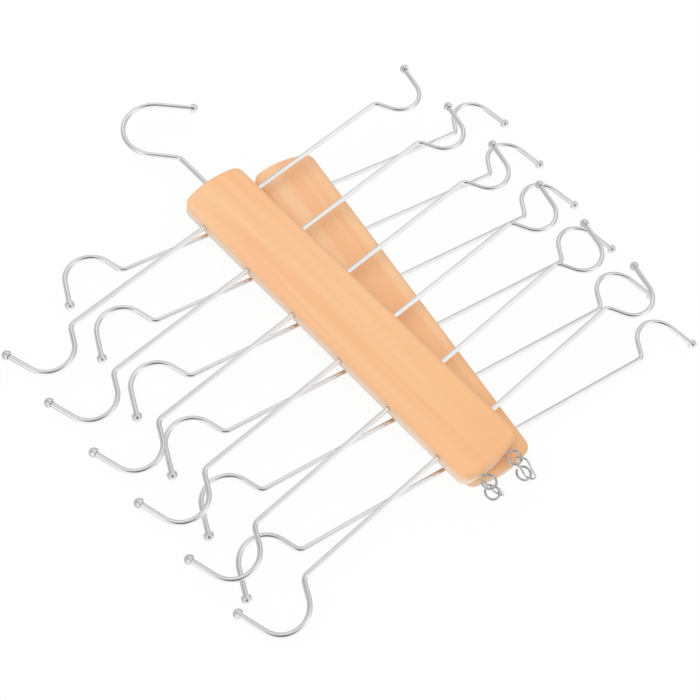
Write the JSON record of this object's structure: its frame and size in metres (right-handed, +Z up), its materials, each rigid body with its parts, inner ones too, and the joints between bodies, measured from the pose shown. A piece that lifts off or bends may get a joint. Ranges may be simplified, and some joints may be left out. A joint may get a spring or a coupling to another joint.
{
  "type": "rotating delicates hanger",
  "caption": "Folding two-tier hanger with a swivel top hook: wooden bars with open wire side hooks, joined by links and screw eyes, shown folded flat.",
  "frame": {"origin": "centre of the lower board's flat underside, which rests on the table", "axes": "+Z up out of the lower board's upper face, +Y along the lower board away from the links, +X across it, the way the side wires run"},
  "size_m": [0.3766, 0.3373, 0.0315],
  "materials": {
    "upper_board": "light wood, fine long grain, clear satin lacquer",
    "lower_board": "light wood, fine long grain with faint cross bands, clear satin lacquer",
    "side_wires": "bright plated wire",
    "end_caps": "bright domed caps",
    "top_hook": "bright plated wire",
    "screw_eyes": "bright zinc-plated steel",
    "links": "bright zinc-plated steel",
    "swivel_sleeve": "plain turned brass",
    "swivel_collar": "plain steel"
  },
  "bodies": {
    "upper_tier": {"upper_board": "upper_board", "upper_wire_1": "side_wires", "upper_wire_2": "side_wires", "upper_wire_3": "side_wires", "upper_wire_4": "side_wires", "upper_wire_5": "side_wires", "upper_wire_6": "side_wires", "upper_cap_1_left": "end_caps", "upper_cap_1_right": "end_caps", "upper_cap_2_left": "end_caps", "upper_cap_2_right": "end_caps", "upper_cap_3_left": "end_caps", "upper_cap_3_right": "end_caps", "upper_cap_4_left": "end_caps", "upper_cap_4_right": "end_caps", "upper_cap_5_left": "end_caps", "upper_cap_5_right": "end_caps", "upper_cap_6_left": "end_caps", "upper_cap_6_right": "end_caps", "upper_eye_left": "screw_eyes", "upper_eye_right": "screw_eyes", "swivel_sleeve": "swivel_sleeve"},
    "swivel_hook": {"top_hook": "top_hook", "top_hook_cap": "end_caps", "swivel_collar": "swivel_collar"},
    "link_left_body": {"link_left": "links"},
    "link_right_body": {"link_right": "links"},
    "lower_tier": {"lower_board": "lower_board", "lower_wire_1": "side_wires", "lower_wire_2": "side_wires", "lower_wire_3": "side_wires", "lower_wire_4": "side_wires", "lower_wire_5": "side_wires", "lower_wire_6": "side_wires", "lower_cap_1_left": "end_caps", "lower_cap_1_right": "end_caps", "lower_cap_2_left": "end_caps", "lower_cap_2_right": "end_caps", "lower_cap_3_left": "end_caps", "lower_cap_3_right": "end_caps", "lower_cap_4_left": "end_caps", "lower_cap_4_right": "end_caps", "lower_cap_5_left": "end_caps", "lower_cap_5_right": "end_caps", "lower_cap_6_left": "end_caps", "lower_cap_6_right": "end_caps", "lower_eye_left": "screw_eyes", "lower_eye_right": "screw_eyes"}
  },
  "joints": [
    {"name": "top_hook_swivel", "type": "hinge", "parent": "upper_tier", "child": "swivel_hook", "pos_m": [-0.05339, 0.12331, 0.01615], "axis": [-0.1853, 0.9826, -0.0115], "continuous": true},
    {"name": "link_right_swing", "type": "hinge", "parent": "upper_tier", "child": "link_right_body", "pos_m": [0.00659, -0.12473, 0.01987], "axis": [-0.9471, -0.1817, -0.2647], "range_deg": [0, 57.56]},
    {"name": "link_left_swing", "type": "hinge", "parent": "upper_tier", "child": "link_left_body", "pos_m": [-0.01663, -0.12976, 0.01843], "axis": [-0.9786, 0.1174, -0.1692], "range_deg": [0, 84.2]},
    {"name": "lower_tier_fold", "type": "hinge", "parent": "link_right_body", "child": "lower_tier", "pos_m": [0.01209, -0.13323, 0.006], "axis": [-0.9754, -0.2197, 0.0194], "range_deg": [0, 124.79]}
  ],
  "couplings": [
    {"joint": "link_right_swing", "follows": "lower_tier_fold", "ratio": 0.4611},
    {"joint": "link_left_swing", "follows": "lower_tier_fold", "ratio": 0.67458}
  ]
}
